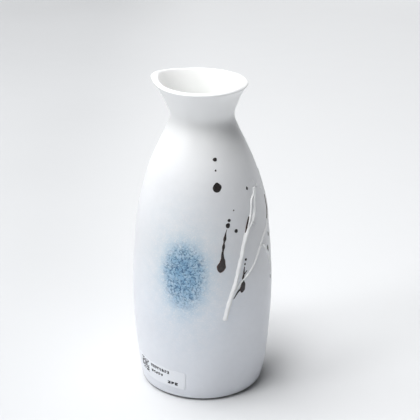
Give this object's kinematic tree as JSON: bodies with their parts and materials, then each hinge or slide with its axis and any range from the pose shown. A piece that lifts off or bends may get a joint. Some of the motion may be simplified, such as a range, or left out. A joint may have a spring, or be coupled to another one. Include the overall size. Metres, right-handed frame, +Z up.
{
  "type": "sake bottle",
  "caption": "Tall rounded ceramic sake bottle in white glaze, with a waisted neck, flared mouth and pinched pouring lip, dark drips, raised white trails and a blue patch.",
  "frame": {"origin": "on the bottle's axis, at the underside of the foot ring", "axes": "+Z up the bottle's axis; -Y is the front, with the blue patch; the pouring lip points to -X and slightly back"},
  "size_m": [0.074, 0.074, 0.1687],
  "materials": {
    "bare_clay": "fired clay, unglazed, fine matte grain",
    "white_glaze": "satin white glaze with a faint orange-peel",
    "liner_glaze": "smoother white liner glaze",
    "white_slip": "raised satin white slip",
    "iron_glaze": "semi-gloss iron brown, reddish at the edges",
    "blue_frit": "granular sprayed blue, fading out at its edge",
    "adhesive": "dull adhesive film",
    "label_paper": "smooth coated paper, lightly printed"
  },
  "bodies": {
    "root": {"clay_body": "bare_clay", "outer_glaze": "white_glaze", "liner_glaze": "liner_glaze", "base_glaze": "white_glaze", "blue_patch": "blue_frit", "slip_trail_long": "white_slip", "slip_trail_twin": "white_slip", "slip_trail_thin": "white_slip", "slip_trail_fork": "white_slip", "slip_trail_arc": "white_slip", "slip_drops": "white_slip", "iron_spots": "iron_glaze", "iron_drip_left": "iron_glaze", "iron_drip_right": "iron_glaze", "iron_streak": "iron_glaze", "label_adhesive": "adhesive", "label_paper": "label_paper"}
  },
  "joints": []
}
